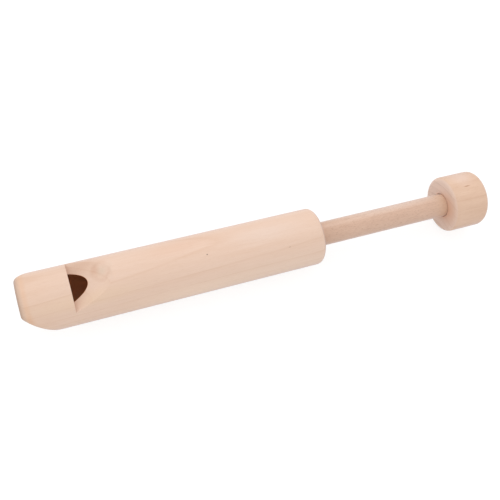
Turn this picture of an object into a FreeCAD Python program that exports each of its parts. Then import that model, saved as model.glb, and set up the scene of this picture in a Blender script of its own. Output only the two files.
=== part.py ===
# A wooden slide whistle, in millimetres.
# The barrel lies along X. The origin is on its axis at the mouth end, +X points along the axis
# to the knob, and +Z points to the side with the window. The plunger is drawn out most of the way.

import FreeCAD, Part
import os
import Sketcher

SIZES = {
    # Rod: a dowel, turned down to a tenon for the piston and glued into the knob
    "rod_diameter": 11.8,
    "rod_running_clearance": 0.05,
    "rod_shown_length": 71.6,
    "tenon_shoulder": 2.4,
    "tenon_end_clearance": 0.2,
    "pull_left": 7,
    # The bush round the rod and the block are glued into the bore, and the discs onto the rod
    "glue_clearance": 0.05,
    "bush_wall": 4,
    "bush_length": 12,
    "bush_mouth_chamfer": 0.6,
    # Barrel: a turned blank, bored right through
    "barrel_length": 143,
    "barrel_wall": 4,
    "far_end_round": 3.2,
    # Mouthpiece: the window's upright step, the windway in front of it and the ramp behind it
    "window_station": 22.7,
    "windway_height": 2.4,
    "windway_flare": 0.2,
    "ramp_length": 19.4,
    # Beak: a hollow scoop takes the underside away, from short of the step to the lips
    "lip_thickness": 7,
    "beak_setback": 2.4,
    "beak_radius": 120,
    "mouth_round": 2.6,
    # Knob: a drum with a blind socket
    "knob_diameter": 28.4,
    "knob_length": 20,
    "knob_front_round": 2.1,
    "knob_back_round": 3.2,
    "socket_depth": 12,
    "socket_clearance": 0.15,
    "socket_chamfer": 0.4,
    "socket_end_clearance": 0.3,
    # Piston: two discs with the packing between them, on the front disc's hub
    "disc_thickness": 5,
    "disc_bore_clearance": 0.3,
    "disc_edge_chamfer": 0.5,
    "front_web_thickness": 1.8,
    # Packing: two felt rings that rub along the bore
    "felt_thickness": 3,
    "felt_width": 4.4,
    "felt_bore_clearance": 0.05,
    "felt_hub_clearance": 0.05,
    "felt_side_clearance": 0.05,
    # A round-headed screw and its washer hold the piston's stack on the tenon
    "washer_diameter": 9,
    "washer_thickness": 0.8,
    "screw_diameter": 3,
    "screw_length": 12,
    "screw_clearance": 0.05,
    "screw_head_diameter": 5.6,
    "screw_head_height": 2,
    "screw_head_round": 1.2,
    "screw_slot_width": 0.8,
    "screw_slot_depth": 0.9,
    "pilot_spare_depth": 1,
    # How far a cut runs past the surface that it leaves by
    "overrun": 5,
}

# Each radius follows the one inside it, from the rod out to the barrel
ROD_RADIUS = "(Sizes.rod_diameter / 2)"
ROD_HOLE_RADIUS = f"({ROD_RADIUS} + Sizes.rod_running_clearance)"
PLUG_RADIUS = f"({ROD_HOLE_RADIUS} + Sizes.bush_wall)"
BORE_RADIUS = f"({PLUG_RADIUS} + Sizes.glue_clearance)"
BARREL_RADIUS = f"({BORE_RADIUS} + Sizes.barrel_wall)"
TENON_RADIUS = f"({ROD_RADIUS} - Sizes.tenon_shoulder)"
TENON_HOLE_RADIUS = f"({TENON_RADIUS} + Sizes.glue_clearance)"
DISC_RADIUS = f"({BORE_RADIUS} - Sizes.disc_bore_clearance)"
FELT_RADIUS = f"({BORE_RADIUS} - Sizes.felt_bore_clearance)"
FELT_HOLE_RADIUS = f"({FELT_RADIUS} - Sizes.felt_width)"
HUB_RADIUS = f"({FELT_HOLE_RADIUS} - Sizes.felt_hub_clearance)"
SCREW_HOLE_RADIUS = "(Sizes.screw_diameter / 2 + Sizes.screw_clearance)"
KNOB_RADIUS = "(Sizes.knob_diameter / 2)"
HEAD_RADIUS = "(Sizes.screw_head_diameter / 2)"
WINDWAY_FLOOR = f"({BORE_RADIUS} - Sizes.windway_height)"

# Stations along the axis, with the plunger where the photograph has it
PISTON_REAR = "(Sizes.barrel_length - Sizes.bush_length - Sizes.pull_left)"
HUB_LENGTH = "(2 * Sizes.felt_thickness + 2 * Sizes.felt_side_clearance)"
HUB_END = f"({PISTON_REAR} - Sizes.disc_thickness)"
HUB_START = f"({HUB_END} - {HUB_LENGTH})"
PISTON_FRONT = f"({HUB_START} - Sizes.disc_thickness)"
FELT_START = f"({HUB_START} + Sizes.felt_side_clearance)"
KNOB_FRONT = "(Sizes.barrel_length + Sizes.rod_shown_length)"

# The tenon goes through the rear disc and the hub, and stops short of the front disc's web
TENON_LENGTH = (
    f"(2 * Sizes.disc_thickness + {HUB_LENGTH}"
    " - Sizes.front_web_thickness - Sizes.tenon_end_clearance)"
)

# A small turned round is made of flats. Their bends lie on its quarter circle, and each pair is
# how far a bend is along and in from the sharp corner, as shares of the round's radius
ROUND_BEND_SHARES = ((0, 1), (0.134, 0.5), (0.5, 0.134), (1, 0))

# A sketch is first drawn at any size, and its dimensions then set the real one
FIRST_GUESS = 10.0
SAME_PLACE = 0.001
CENTRE = FreeCAD.Vector(0, 0, 0)
ALONG_NORMAL = FreeCAD.Vector(0, 0, 1)

# A sketch numbers a line's points from 1 up, and its own two axes from -1 down
START, END, MIDDLE = range(1, 4)
X_AXIS, Y_AXIS = range(-1, -3, -1)


def make_sheet(document):
    """The driving dimensions, one named cell each."""
    sheet = document.addObject("Spreadsheet::Sheet", "Sizes")
    for row, (name, value) in enumerate(SIZES.items(), start=1):
        sheet.set(f"A{row}", name)
        sheet.set(f"B{row}", str(value))
        sheet.setAlias(f"B{row}", name)
    document.recompute()


def make_body(document, name, station=None):
    """A body of its own, moved along the axis to its station."""
    body = document.addObject("PartDesign::Body", name)
    body.Label = name
    if station:
        body.setExpression("Placement.Base.x", station)
    return body


def make_sketch(body, name, plane):
    """A sketch on one of the body's own origin planes."""
    sketch = body.newObject("Sketcher::SketchObject", f"{name}_sketch")
    for feature in body.Origin.OriginFeatures:
        if feature.Role == plane:
            sketch.AttachmentSupport = [(feature, "")]
    sketch.MapMode = "FlatFace"
    return sketch


def bind(sketch, dimension, expression):
    """Adds a dimension to a sketch and ties it to the sheet."""
    index = sketch.addConstraint(dimension)
    name = f"{dimension.Type}_{index}"
    sketch.renameConstraint(index, name)
    sketch.setExpression(f"Constraints.{name}", expression)


def hold_point(sketch, geometry, point, across, up):
    """Holds a point of the sketch at a place, where None stands for zero."""
    for kind, expression, zero_axis in (("DistanceX", across, Y_AXIS), ("DistanceY", up, X_AXIS)):
        if expression is None:
            on_axis = Sketcher.Constraint("PointOnObject", geometry, point, zero_axis)
            sketch.addConstraint(on_axis)
        else:
            distance = Sketcher.Constraint(kind, X_AXIS, START, geometry, point, FIRST_GUESS)
            bind(sketch, distance, expression)


def draw_circle(sketch, radius, across=None, up=None):
    """A circle, about the sketch's origin unless it is given a centre."""
    circle = sketch.addGeometry(Part.Circle(CENTRE, ALONG_NORMAL, FIRST_GUESS), False)
    hold_point(sketch, circle, MIDDLE, across, up)
    bind(sketch, Sketcher.Constraint("Radius", circle, FIRST_GUESS), radius)


def draw_outline(sketch, corners):
    """A closed outline of straight lines through corners, in order."""
    guesses = []
    for index in range(len(corners)):
        turn = FreeCAD.Rotation(ALONG_NORMAL, 360 * index / len(corners))
        guesses.append(turn.multVec(FreeCAD.Vector(FIRST_GUESS, 0, 0)))
    lines = []
    for index, guess in enumerate(guesses):
        following = guesses[(index + 1) % len(guesses)]
        lines.append(sketch.addGeometry(Part.LineSegment(guess, following), False))
    for index, line in enumerate(lines):
        joined = Sketcher.Constraint("Coincident", lines[index - 1], END, line, START)
        sketch.addConstraint(joined)
        hold_point(sketch, line, START, *corners[index])


def turn(body, name, outline):
    """Turns a half outline, of places along the axis and radii, right round the axis."""
    sketch = make_sketch(body, name, "XZ_Plane")
    draw_outline(sketch, outline)
    feature = body.newObject("PartDesign::Revolution", name)
    feature.Profile = sketch
    feature.ReferenceAxis = (sketch, ["H_Axis"])


def round_front(radius, size):
    """The bends of the round at a turned piece's front end, from the face to the side."""
    bends = []
    for along, inward in ROUND_BEND_SHARES:
        bends.append((f"{along} * {size}", f"{radius} - {inward} * {size}"))
    return bends


def round_back(length, radius, size):
    """The bends of the round at a turned piece's back end, from the side to the face."""
    bends = []
    for along, inward in reversed(ROUND_BEND_SHARES):
        bends.append((f"{length} - {along} * {size}", f"{radius} - {inward} * {size}"))
    return bends


def cut_through(body, name, sketch):
    """Cuts a sketch right through the body, both ways. It has to take something away."""
    body.Document.recompute()
    before = body.Shape.Volume
    feature = body.newObject("PartDesign::Pocket", name)
    feature.Profile = sketch
    feature.Type = "ThroughAll"
    feature.SideType = "Symmetric"
    body.Document.recompute()
    if body.Shape.Volume >= before:
        raise ValueError(f"{name} cuts nothing from {body.Label}")


def round_over(body, name, pick, radius):
    """Rounds the edges that pick chooses from the body's last feature."""
    body.Document.recompute()
    base = body.Tip
    chosen = pick(base.Shape)
    edges = enumerate(base.Shape.Edges, start=1)
    feature = body.newObject("PartDesign::Fillet", name)
    feature.Base = (
        base,
        [f"Edge{index}" for index, edge in edges if any(edge.isSame(other) for other in chosen)],
    )
    feature.setExpression("Radius", radius)


def rim_at(shape, station):
    """The widest circle that lies square to the axis at a station."""
    rings = []
    for edge in shape.Edges:
        box = edge.BoundBox
        square = box.XLength < SAME_PLACE and abs(box.Center.x - station) < SAME_PLACE
        if square and isinstance(edge.Curve, Part.Circle):
            rings.append(edge)
    return [max(rings, key=lambda edge: edge.Curve.Radius)]


def front_rim(shape):
    """The widest circle at the end towards the mouth."""
    return rim_at(shape, shape.BoundBox.XMin)


def back_rim(shape):
    """The widest circle at the end towards the knob."""
    return rim_at(shape, shape.BoundBox.XMax)


def mouth_edges(shape):
    """The rim at the mouth end, and the edges of the face that curves least, which is the beak."""
    curved = [face for face in shape.Faces if isinstance(face.Surface, Part.Cylinder)]
    beak = max(curved, key=lambda face: face.Surface.Radius)
    return [*front_rim(shape), *beak.Edges]


def scoop_beak(body):
    """Cuts the beak: a large round cutter that passes the lips and the end of the beak's run."""
    run = "(Sizes.window_station - Sizes.beak_setback)"
    rise = f"(2 * {BARREL_RADIUS} - Sizes.lip_thickness)"
    chord = f"sqrt({run} ^ 2 + {rise} ^ 2)"
    reach = f"(sqrt(Sizes.beak_radius ^ 2 - ({chord} / 2) ^ 2) / {chord})"
    sketch = make_sketch(body, "beak", "XZ_Plane")
    draw_circle(
        sketch,
        "Sizes.beak_radius",
        f"{run} / 2 - {rise} * {reach}",
        f"-Sizes.lip_thickness / 2 - {run} * {reach}",
    )
    cut_through(body, "beak", sketch)


def make_mouthpiece(body, length):
    """Turns a solid cylinder with the beak at its mouth end. The barrel and the block share it."""
    outline = [(None, None), (None, BARREL_RADIUS), (length, BARREL_RADIUS), (length, None)]
    turn(body, "blank", outline)
    scoop_beak(body)
    round_over(body, "mouth_round", mouth_edges, "Sizes.mouth_round")


def make_barrel(document):
    """The turned tube, with the beak, the window and the ramp cut into its mouth end."""
    body = make_body(document, "barrel")
    make_mouthpiece(body, "Sizes.barrel_length")
    round_over(body, "far_round", back_rim, "Sizes.far_end_round")
    bore = make_sketch(body, "bore", "YZ_Plane")
    draw_circle(bore, BORE_RADIUS)
    cut_through(body, "bore", bore)
    top = f"({BARREL_RADIUS} + Sizes.overrun)"
    slope = f"(Sizes.ramp_length / ({BARREL_RADIUS} - {WINDWAY_FLOOR}))"
    window = make_sketch(body, "window", "XZ_Plane")
    ramp_end = f"Sizes.window_station + ({top} - {WINDWAY_FLOOR}) * {slope}"
    corners = [("Sizes.window_station", WINDWAY_FLOOR), (ramp_end, top), ("Sizes.window_station", top)]
    draw_outline(window, corners)
    cut_through(body, "window", window)
    return body


def make_block(document):
    """The plug glued into the mouth end. Its flat top is the floor of the windway."""
    body = make_body(document, "fipple_block")
    make_mouthpiece(body, "Sizes.window_station")
    outside = make_sketch(body, "outside", "YZ_Plane")
    draw_circle(outside, PLUG_RADIUS)
    draw_circle(outside, f"{BARREL_RADIUS} + Sizes.overrun")
    cut_through(body, "outside", outside)
    top = f"({BORE_RADIUS} + Sizes.overrun)"
    windway = make_sketch(body, "windway", "XZ_Plane")
    corners = [
        (None, f"{WINDWAY_FLOOR} - Sizes.windway_flare"),
        ("Sizes.window_station", WINDWAY_FLOOR),
        ("Sizes.window_station", top),
        (None, top),
    ]
    draw_outline(windway, corners)
    cut_through(body, "windway", windway)
    return body


def make_bush(document):
    """The ring glued into the far end, which guides the rod and stops the piston."""
    body = make_body(document, "end_bush", "Sizes.barrel_length - Sizes.bush_length")
    outline = [
        (None, ROD_HOLE_RADIUS),
        (None, PLUG_RADIUS),
        ("Sizes.bush_length", PLUG_RADIUS),
        ("Sizes.bush_length", f"{ROD_HOLE_RADIUS} + Sizes.bush_mouth_chamfer"),
        ("Sizes.bush_length - Sizes.bush_mouth_chamfer", ROD_HOLE_RADIUS),
    ]
    turn(body, "ring", outline)
    return body


def make_rod(document):
    """The dowel, with its tenon and the pilot hole for the screw."""
    body = make_body(document, "plunger_rod", f"{PISTON_REAR} - {TENON_LENGTH}")
    dowel = f"({KNOB_FRONT} + Sizes.socket_depth - Sizes.socket_end_clearance - {PISTON_REAR})"
    length = f"({TENON_LENGTH} + {dowel})"
    pilot_depth = (
        "(Sizes.screw_length + Sizes.pilot_spare_depth - Sizes.washer_thickness"
        " - Sizes.front_web_thickness - Sizes.tenon_end_clearance)"
    )
    outline = [
        (None, SCREW_HOLE_RADIUS),
        (None, TENON_RADIUS),
        (TENON_LENGTH, TENON_RADIUS),
        (TENON_LENGTH, ROD_RADIUS),
        (length, ROD_RADIUS),
        (length, None),
        (pilot_depth, None),
        (pilot_depth, SCREW_HOLE_RADIUS),
    ]
    turn(body, "dowel", outline)
    return body


def make_knob(document):
    """The drum at the rod's end, with a blind socket that the rod is glued into."""
    body = make_body(document, "knob", KNOB_FRONT)
    socket = f"({ROD_RADIUS} + Sizes.socket_clearance)"
    outline = [
        (None, f"{socket} + Sizes.socket_chamfer"),
        *round_front(KNOB_RADIUS, "Sizes.knob_front_round"),
        *round_back("Sizes.knob_length", KNOB_RADIUS, "Sizes.knob_back_round"),
        ("Sizes.knob_length", None),
        ("Sizes.socket_depth", None),
        ("Sizes.socket_depth", socket),
        ("Sizes.socket_chamfer", socket),
    ]
    turn(body, "drum", outline)
    return body


def make_front_disc(document):
    """The piston's disc that faces the air, with the hub that carries the packing."""
    body = make_body(document, "piston_front_disc", PISTON_FRONT)
    hub_end = f"Sizes.disc_thickness + {HUB_LENGTH}"
    outline = [
        (None, SCREW_HOLE_RADIUS),
        (None, f"{DISC_RADIUS} - Sizes.disc_edge_chamfer"),
        ("Sizes.disc_edge_chamfer", DISC_RADIUS),
        ("Sizes.disc_thickness", DISC_RADIUS),
        ("Sizes.disc_thickness", HUB_RADIUS),
        (hub_end, HUB_RADIUS),
        (hub_end, TENON_HOLE_RADIUS),
        ("Sizes.front_web_thickness", TENON_HOLE_RADIUS),
        ("Sizes.front_web_thickness", SCREW_HOLE_RADIUS),
    ]
    turn(body, "disc_and_hub", outline)
    return body


def make_rear_disc(document):
    """The piston's disc behind the packing, against the shoulder of the rod."""
    body = make_body(document, "piston_rear_disc", HUB_END)
    outline = [
        (None, TENON_HOLE_RADIUS),
        (None, DISC_RADIUS),
        ("Sizes.disc_thickness - Sizes.disc_edge_chamfer", DISC_RADIUS),
        ("Sizes.disc_thickness", f"{DISC_RADIUS} - Sizes.disc_edge_chamfer"),
        ("Sizes.disc_thickness", TENON_HOLE_RADIUS),
    ]
    turn(body, "disc", outline)
    return body


def turn_ring(body, thickness, hole, outside):
    """A plain flat ring."""
    turn(body, "ring", [(None, hole), (None, outside), (thickness, outside), (thickness, hole)])


def make_felt_ring(document, name, station):
    """One ring of the packing. It grips the bore, and the hub turns inside it."""
    body = make_body(document, name, station)
    turn_ring(body, "Sizes.felt_thickness", FELT_HOLE_RADIUS, FELT_RADIUS)
    return body


def make_washer(document):
    """The washer under the screw's head."""
    body = make_body(document, "piston_washer", f"{PISTON_FRONT} - Sizes.washer_thickness")
    turn_ring(body, "Sizes.washer_thickness", SCREW_HOLE_RADIUS, "Sizes.washer_diameter / 2")
    return body


def make_screw(document):
    """The slotted round-headed screw that holds the piston's stack on the tenon."""
    station = f"{PISTON_FRONT} - Sizes.washer_thickness - Sizes.screw_head_height"
    body = make_body(document, "piston_screw", station)
    tip = "Sizes.screw_head_height + Sizes.screw_length"
    outline = [
        (None, None),
        *round_front(HEAD_RADIUS, "Sizes.screw_head_round"),
        ("Sizes.screw_head_height", HEAD_RADIUS),
        ("Sizes.screw_head_height", "Sizes.screw_diameter / 2"),
        (tip, "Sizes.screw_diameter / 2"),
        (tip, None),
    ]
    turn(body, "head_and_shank", outline)
    slot = make_sketch(body, "slot", "XZ_Plane")
    corners = [
        ("-Sizes.overrun", "-Sizes.screw_slot_width / 2"),
        ("Sizes.screw_slot_depth", "-Sizes.screw_slot_width / 2"),
        ("Sizes.screw_slot_depth", "Sizes.screw_slot_width / 2"),
        ("-Sizes.overrun", "Sizes.screw_slot_width / 2"),
    ]
    draw_outline(slot, corners)
    cut_through(body, "slot", slot)
    return body


def check(document, bodies):
    """Stops the build where any object failed or any piece isn't one sound solid."""
    for thing in document.Objects:
        if "Invalid" in thing.State or "Error" in thing.State:
            raise ValueError(f"{thing.Name} failed: {thing.State}")
    for body in bodies:
        shape = body.Shape
        if shape.isNull() or not shape.isValid() or len(shape.Solids) != 1:
            raise ValueError(f"{body.Label} isn't one sound solid")


def main():
    """Builds every piece and writes each to its own file."""
    document = FreeCAD.newDocument("slide_whistle")
    make_sheet(document)
    second_felt = f"{FELT_START} + Sizes.felt_thickness"
    bodies = [
        make_barrel(document),
        make_block(document),
        make_bush(document),
        make_rod(document),
        make_knob(document),
        make_front_disc(document),
        make_rear_disc(document),
        make_felt_ring(document, "felt_ring_front", FELT_START),
        make_felt_ring(document, "felt_ring_rear", second_felt),
        make_washer(document),
        make_screw(document),
    ]
    document.recompute()
    check(document, bodies)
    os.makedirs("parts", exist_ok=True)
    for body in bodies:
        body.Shape.exportStep(f"parts/{body.Label}.step")
        box = body.Shape.BoundBox
        print(f"{body.Label}: x {box.XMin:.2f} to {box.XMax:.2f}, {body.Shape.Volume:.1f} mm3")


main()
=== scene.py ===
import math

import bmesh
import bpy
from mathutils import Matrix, Vector


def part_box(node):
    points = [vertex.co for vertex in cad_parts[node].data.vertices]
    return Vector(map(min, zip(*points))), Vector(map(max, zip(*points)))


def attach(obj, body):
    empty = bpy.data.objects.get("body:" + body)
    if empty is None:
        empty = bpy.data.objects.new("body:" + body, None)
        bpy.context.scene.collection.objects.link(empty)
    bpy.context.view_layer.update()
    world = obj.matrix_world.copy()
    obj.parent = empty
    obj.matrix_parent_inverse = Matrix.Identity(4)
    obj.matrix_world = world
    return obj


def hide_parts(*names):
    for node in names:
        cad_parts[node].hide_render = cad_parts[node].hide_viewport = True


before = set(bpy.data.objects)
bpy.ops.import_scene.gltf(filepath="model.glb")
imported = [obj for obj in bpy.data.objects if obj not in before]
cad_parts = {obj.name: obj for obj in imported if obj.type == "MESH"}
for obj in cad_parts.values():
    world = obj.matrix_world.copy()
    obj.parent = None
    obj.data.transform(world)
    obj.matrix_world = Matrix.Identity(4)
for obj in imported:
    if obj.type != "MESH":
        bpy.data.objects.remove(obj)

bl_info = {
    "name": "Slide Whistle Workshop",
    "version": (1, 0, 0),
    "blender": (4, 5, 0),
    "location": "View3D > Sidebar > Whistle",
    "description": "Turns, sands and lights a wooden slide whistle on its CAD frame",
    "category": "Object",
}

# Lengths are metres unless a name ends in _mm. Wood patterns are worked out in millimetres,
# because the sizes of rings, fibres and pores are.
MM = 0.001
MM_PER_M = 1000.0

# Where each piece lies along the barrel and how wide it is, read from the CAD frame
KNOB_LOW, KNOB_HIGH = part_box("knob")
SCREW_LOW, SCREW_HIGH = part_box("piston_screw")
WASHER_LOW, WASHER_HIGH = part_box("piston_washer")
ROD_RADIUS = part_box("plunger_rod")[1].z
BARREL_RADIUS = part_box("barrel")[1].z
FLOOR_HEIGHT = KNOB_LOW.z

# The CAD's block ends at the window's step, with its top level with the foot of the ramp
STEP, CAD_RAMP_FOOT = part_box("fipple_block")[1].xz
CAD_RAMP_LENGTH = 19.4 * MM

# The photograph's camera, from a fit to the whistle's round outlines: right, up and ahead
CAMERA_PLACE_MM = (15.08, -128.4, 305.6)
CAMERA_AXES = (
    (0.93558, -0.31905, 0.1513),
    (0.22626, 0.87062, 0.43682),
    (0.27109, 0.37445, -0.88673),
)
SENSOR_WIDTH_MM = 36.0
KEY_LAMP_PLACE = (0.20, 0.50, 0.60)
KEY_LAMP_WIDTH = 0.7
LAMP_AIM = (0.12, 0.0, 0.0)
FLOOR_HALF_WIDTH = 1.5

# How far from a surface a point may be and still count as on it
SAME_PLACE = 0.01 * MM

# Points nearer than this are made one
WELD = 0.002 * MM

# Flats in one turn of the lathe, and in a quarter of a small edge, a screw's dome and a knob's rim
FELT_STEPS, SCREW_STEPS, WASHER_STEPS = 96, 48, 64
EDGE_STEPS, DOME_STEPS, RIM_STEPS = 4, 6, 10

# A turned piece's edge stays crisp where it turns more than this
CRISP_ANGLE = math.radians(40)

# A loose fibre's length and radius as shares of the felt's nap, and how far it leans in radians
FIBRE_LENGTH_SHARE, FIBRE_RADIUS_SHARE = 2.0, 0.1
FIBRE_LEAN = 1.0

# Width of the fibres in the floor's paper
PAPER_FIBRE = 0.5 * MM

# Where late wood's dark line lies in one year's ring, from 0 at its start to 1, and how deep the
# wood's tone is on the way there
LATE_WOOD = 0.94
RING_TONES = ((0.5, 0.08), (0.86, 0.32), (LATE_WOOD, 1.0))

# A ring's line fades in and out along the piece, down to this share of its depth
FAINTEST_LINE = 0.3

# The noise's values between which a ring's line goes from faint to full, and a pore opens
LINE_NOISE = (0.35, 0.65)
PORE_NOISE = (0.58, 0.74)

# How far each grain is moved aside from its wood's seed, so that no two are alike
ASIDE = {"line": 3, "fibre": 5, "cloud": 7, "pore": 11, "wobble": 13}

# How far a surface turns from the side, 0, towards the end, 1: where end grain and its painted shade
# start to show and are full, the middle of a rounded edge, how far from it the paler band of painted
# highlight ends and is full, and the most for a drilled hole's wall
END_GRAIN_AND_SHADE = (0.55, 0.98)
ROUNDING_TILT = 0.7
ROUNDING_HIGHLIGHT_BAND = (0.3, 0.05)
WALL_TILT = 0.5

# Shares of its reach at which an eye's outline is darkest and is gone
EYE_OUTLINE = (0.8, 1.1)

# Roughness goes up and down by this along the fibres
ROUGHNESS_SPREAD = 0.06

# A stain's reach in millimetres that takes in the piece all round
ALL_ROUND = 60.0

# Each wood's pattern. pith_mm is where the tree's pith passes the mouth end, in Y and Z, and
# pith_lean how far it moves in Y and Z for each millimetre along X. ring_line_mm is the
# distance from the pith to a ring's dark line. Each grain_mm is a grain's length along X and its
# width. A stain, an eye and a pin knot give a place, a reach in X, Y and Z, a colour and a depth
# from 0 to 1. An end's tint gives the stations where it is full and gone, a colour and a depth.
# bore_radius_mm is the radius of a drilled hole, and bore_reach_mm how near a point has to be to
# that radius to count as the hole's wall. gloss is the level of its shine.

# Hard maple: pale and close. Its rings run nearly flat to the surface, so they show as one clear
# arch and faint lines. A curl shows as an eye on the ramp, and there are two pin knots
BARREL_WOOD = {
    "seed": 1.7,
    "pith_mm": (-10.74, -23.36),
    "pith_lean": (0.0536, 0.0240),
    "ring_line_mm": 36.0,
    "ring_depth": 0.34,
    "wander_mm": 0.9,
    "wander_grain_mm": (70, 9),
    "patch_grain_mm": (60, 9),
    "fibre_grain_mm": (9, 0.35),
    "fibre_depth": 0.38,
    "cloud_grain_mm": (50, 2.6),
    "cloud_depth": 0.34,
    "tone": 0.22,
    "pore_grain_mm": (2.2, 0.22),
    "pore_colour": "#C08F6C",
    "pore_depth": 0.12,
    "stains_and_painted_light_mm": (
        # A warm line all round behind the mouth end's rounding, strongest low on the near side
        ((3.1, 0.0, 0.0), (2.1, ALL_ROUND, ALL_ROUND), "#E6B083", 0.30),
        ((3.6, -12.0, 6.0), (2.8, 9.0, 9.0), "#E0A878", 0.26),
        # A little deeper all over the mouthpiece
        ((5.0, 0.0, 0.0), (15.0, ALL_ROUND, ALL_ROUND), "#E4BE9F", 0.18),
        # Warm wood inside the arch, and cooler wood beyond it
        ((114.0, 1.5, 13.9), (28.0, 7.0, 5.0), "#F1DFD4", 0.32),
        ((73.0, 5.0, 12.8), (27.0, 7.0, 6.0), "#E3AE8C", 0.20),
        # Yellower wood low beside the ramp
        ((28.0, -8.5, 11.0), (34.0, 6.0, 5.0), "#EDCDAE", 0.5),
        # Painted bounce light from the floor on the underside: paler, and greyer towards the far end
        ((75.0, -13.5, 1.5), (50.0, 7.0, 9.0), "#FFE6D0", 0.4),
        ((122.0, -13.5, 2.5), (75.0, 8.0, 11.0), "#F4DDCA", 0.42),
        # Darker on the ramp's upper half
        ((30.0, 8.5, 10.5), (12.0, 6.5, 6.0), "#D3A78B", 0.40),
        # The eye: warm towards the window, greyer in the middle, and lost towards the far end
        ((34.8, 3.8, 11.6), (3.0, 4.0, 3.0), "#C98F6A", 0.30),
        ((37.2, 2.4, 12.5), (3.4, 3.4, 3.4), "#D9C6B2", 0.34),
        ((41.0, 4.4, 13.6), (3.0, 5.0, 3.0), "#EBCFBB", 0.7),
    ),
    # The eye's outline, a thin ring on a place that wobbles
    "eyes_mm": (((38.6, 4.0, 14.0), (5.2, 5.2, 5.2), "#BE8763", 0.13),),
    "wobble_mm": 3.2,
    "wobble_grain_mm": (6.0, 4.0),
    "pin_knots_mm": (
        ((84.5, -2.38, 13.8), (0.5, 0.45, 0.5), "#4A2E1C", 0.95),
        ((123.8, -7.61, 11.75), (0.8, 0.28, 0.28), "#6B4A34", 0.5),
    ),
    # The rounded mouth end, greyed by painted shade
    "end_tints_and_shade_mm": ((0.4, 3.0, "#C0A490", 0.50),),
    # End grain's own colour, deepened into painted shade on faces turned along the axis
    "end_grain_and_shade": "#A9826C",
    "end_ring": "#6E4A36",
    "end_grain_and_shade_depth": 0.75,
    "bore_radius_mm": 10.0,
    "bore_reach_mm": 0.04,
    "relief_mm": 0.04,
    "roughness": 0.62,
    "gloss": 0.45,
    # A painted highlight: the paler band on a rounded edge between side and end
    "rounding_highlight": "#F1DAD0",
    "rounding_highlight_depth": 0.0,
}

# The block and bush are the same maple, sawn rather than sanded, so duller and rougher
PLUG_WOOD = {
    **BARREL_WOOD,
    "seed": 4.1,
    "pith_mm": (9.0, -19.0),
    "pith_lean": (0.01, 0.02),
    "stains_and_painted_light_mm": (),
    "eyes_mm": (),
    "pin_knots_mm": (),
    "end_tints_and_shade_mm": (),
    "end_grain_and_shade": "#BE9A80",
    "bore_radius_mm": 5.95,
    "relief_mm": 0.07,
    "roughness": 0.74,
}

# Beech dowel: pinker and darker than maple, flecked with short brown rays along its length,
# and a little burnished from sliding
ROD_WOOD = {
    **BARREL_WOOD,
    "seed": 8.3,
    "pith_mm": (24.0, -31.0),
    "pith_lean": (0.004, 0.006),
    "ring_depth": 0.18,
    "wander_mm": 0.5,
    "fibre_grain_mm": (4, 0.3),
    "fibre_depth": 0.62,
    "tone": 0.3,
    "pore_grain_mm": (1.7, 0.22),
    "pore_colour": "#9A6A48",
    "pore_depth": 0.5,
    # Painted shade along the rod's lower side, and a painted highlight along its upper side
    "stains_and_painted_light_mm": (
        ((179.0, -5.9, 0.8), (60.0, 3.5, 4.5), "#A87C62", 0.14),
        ((185.0, 3.0, 5.4), (40.0, 3.5, 3.0), "#F0DCD0", 0.35),
    ),
    "eyes_mm": (),
    "pin_knots_mm": (),
    # Paler near the knob, where hands don't reach, and darker with painted shade beside the barrel's
    # end
    "end_tints_and_shade_mm": ((214.0, 205.0, "#EBD3B6", 0.22), (144.0, 162.0, "#C29A7C", 0.2)),
    "end_grain_and_shade": "#B98F72",
    "bore_radius_mm": 0.0,
    "relief_mm": 0.05,
    "roughness": 0.3,
    "gloss": 1.0,
}

# The knob's maple is warmer, with a painted highlight as a pale patch on top, and one long pin knot.
# Its end grain is greyer, and it is orange round the rod, stained by handling and with a painted
# reflection of the rod
KNOB_WOOD = {
    **BARREL_WOOD,
    "seed": 12.9,
    "pith_mm": (-19.0, -27.0),
    "pith_lean": (0.02, -0.01),
    "ring_depth": 0.26,
    "wander_mm": 0.8,
    "fibre_depth": 0.5,
    "cloud_grain_mm": (14, 2.6),
    "cloud_depth": 0.7,
    "pore_depth": 0.22,
    "stains_and_painted_light_mm": (
        # Orange round the rod: stained by handling, and a painted reflection of the rod
        ((214.6, -4.0, 3.4), (2.5, 12.5, 12.5), "#DC9A68", 0.55),
        # Painted highlight: a pale patch on the knob's upper side
        ((224.0, 7.0, 12.0), (9.0, 8.0, 7.0), "#F6E0D8", 0.32),
    ),
    "eyes_mm": (),
    "pin_knots_mm": (((223.95, 0.83, 14.18), (2.6, 0.42, 0.6), "#A9683C", 0.85),),
    "end_tints_and_shade_mm": (),
    "end_grain_and_shade": "#EBD0C1",
    "end_ring": "#8A5A3E",
    "end_grain_and_shade_depth": 0.85,
    "rounding_highlight_depth": 0.22,
    "bore_radius_mm": 6.05,
    "roughness": 0.55,
    "gloss": 0.6,
}


def linear(hex_colour):
    """An sRGB hex colour as the linear RGBA that Blender's sockets take."""
    channels = []
    for start in (1, 3, 5):
        value = int(hex_colour[start:start + 2], 16) / 255
        if value <= 0.04045:
            channels.append(value / 12.92)
        else:
            channels.append(((value + 0.055) / 1.055) ** 2.4)
    return (*channels, 1.0)


def length_setting(name, description, default, least=0.0):
    """A length that a user may change."""
    return bpy.props.FloatProperty(
        name=name, description=description, default=default, min=least, unit="LENGTH", precision=5,
    )


def colour_setting(name, description, hex_colour):
    """A colour that a user may change."""
    return bpy.props.FloatVectorProperty(
        name=name, description=description, default=linear(hex_colour), min=0.0, max=1.0,
        subtype="COLOR", size=4,
    )


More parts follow.
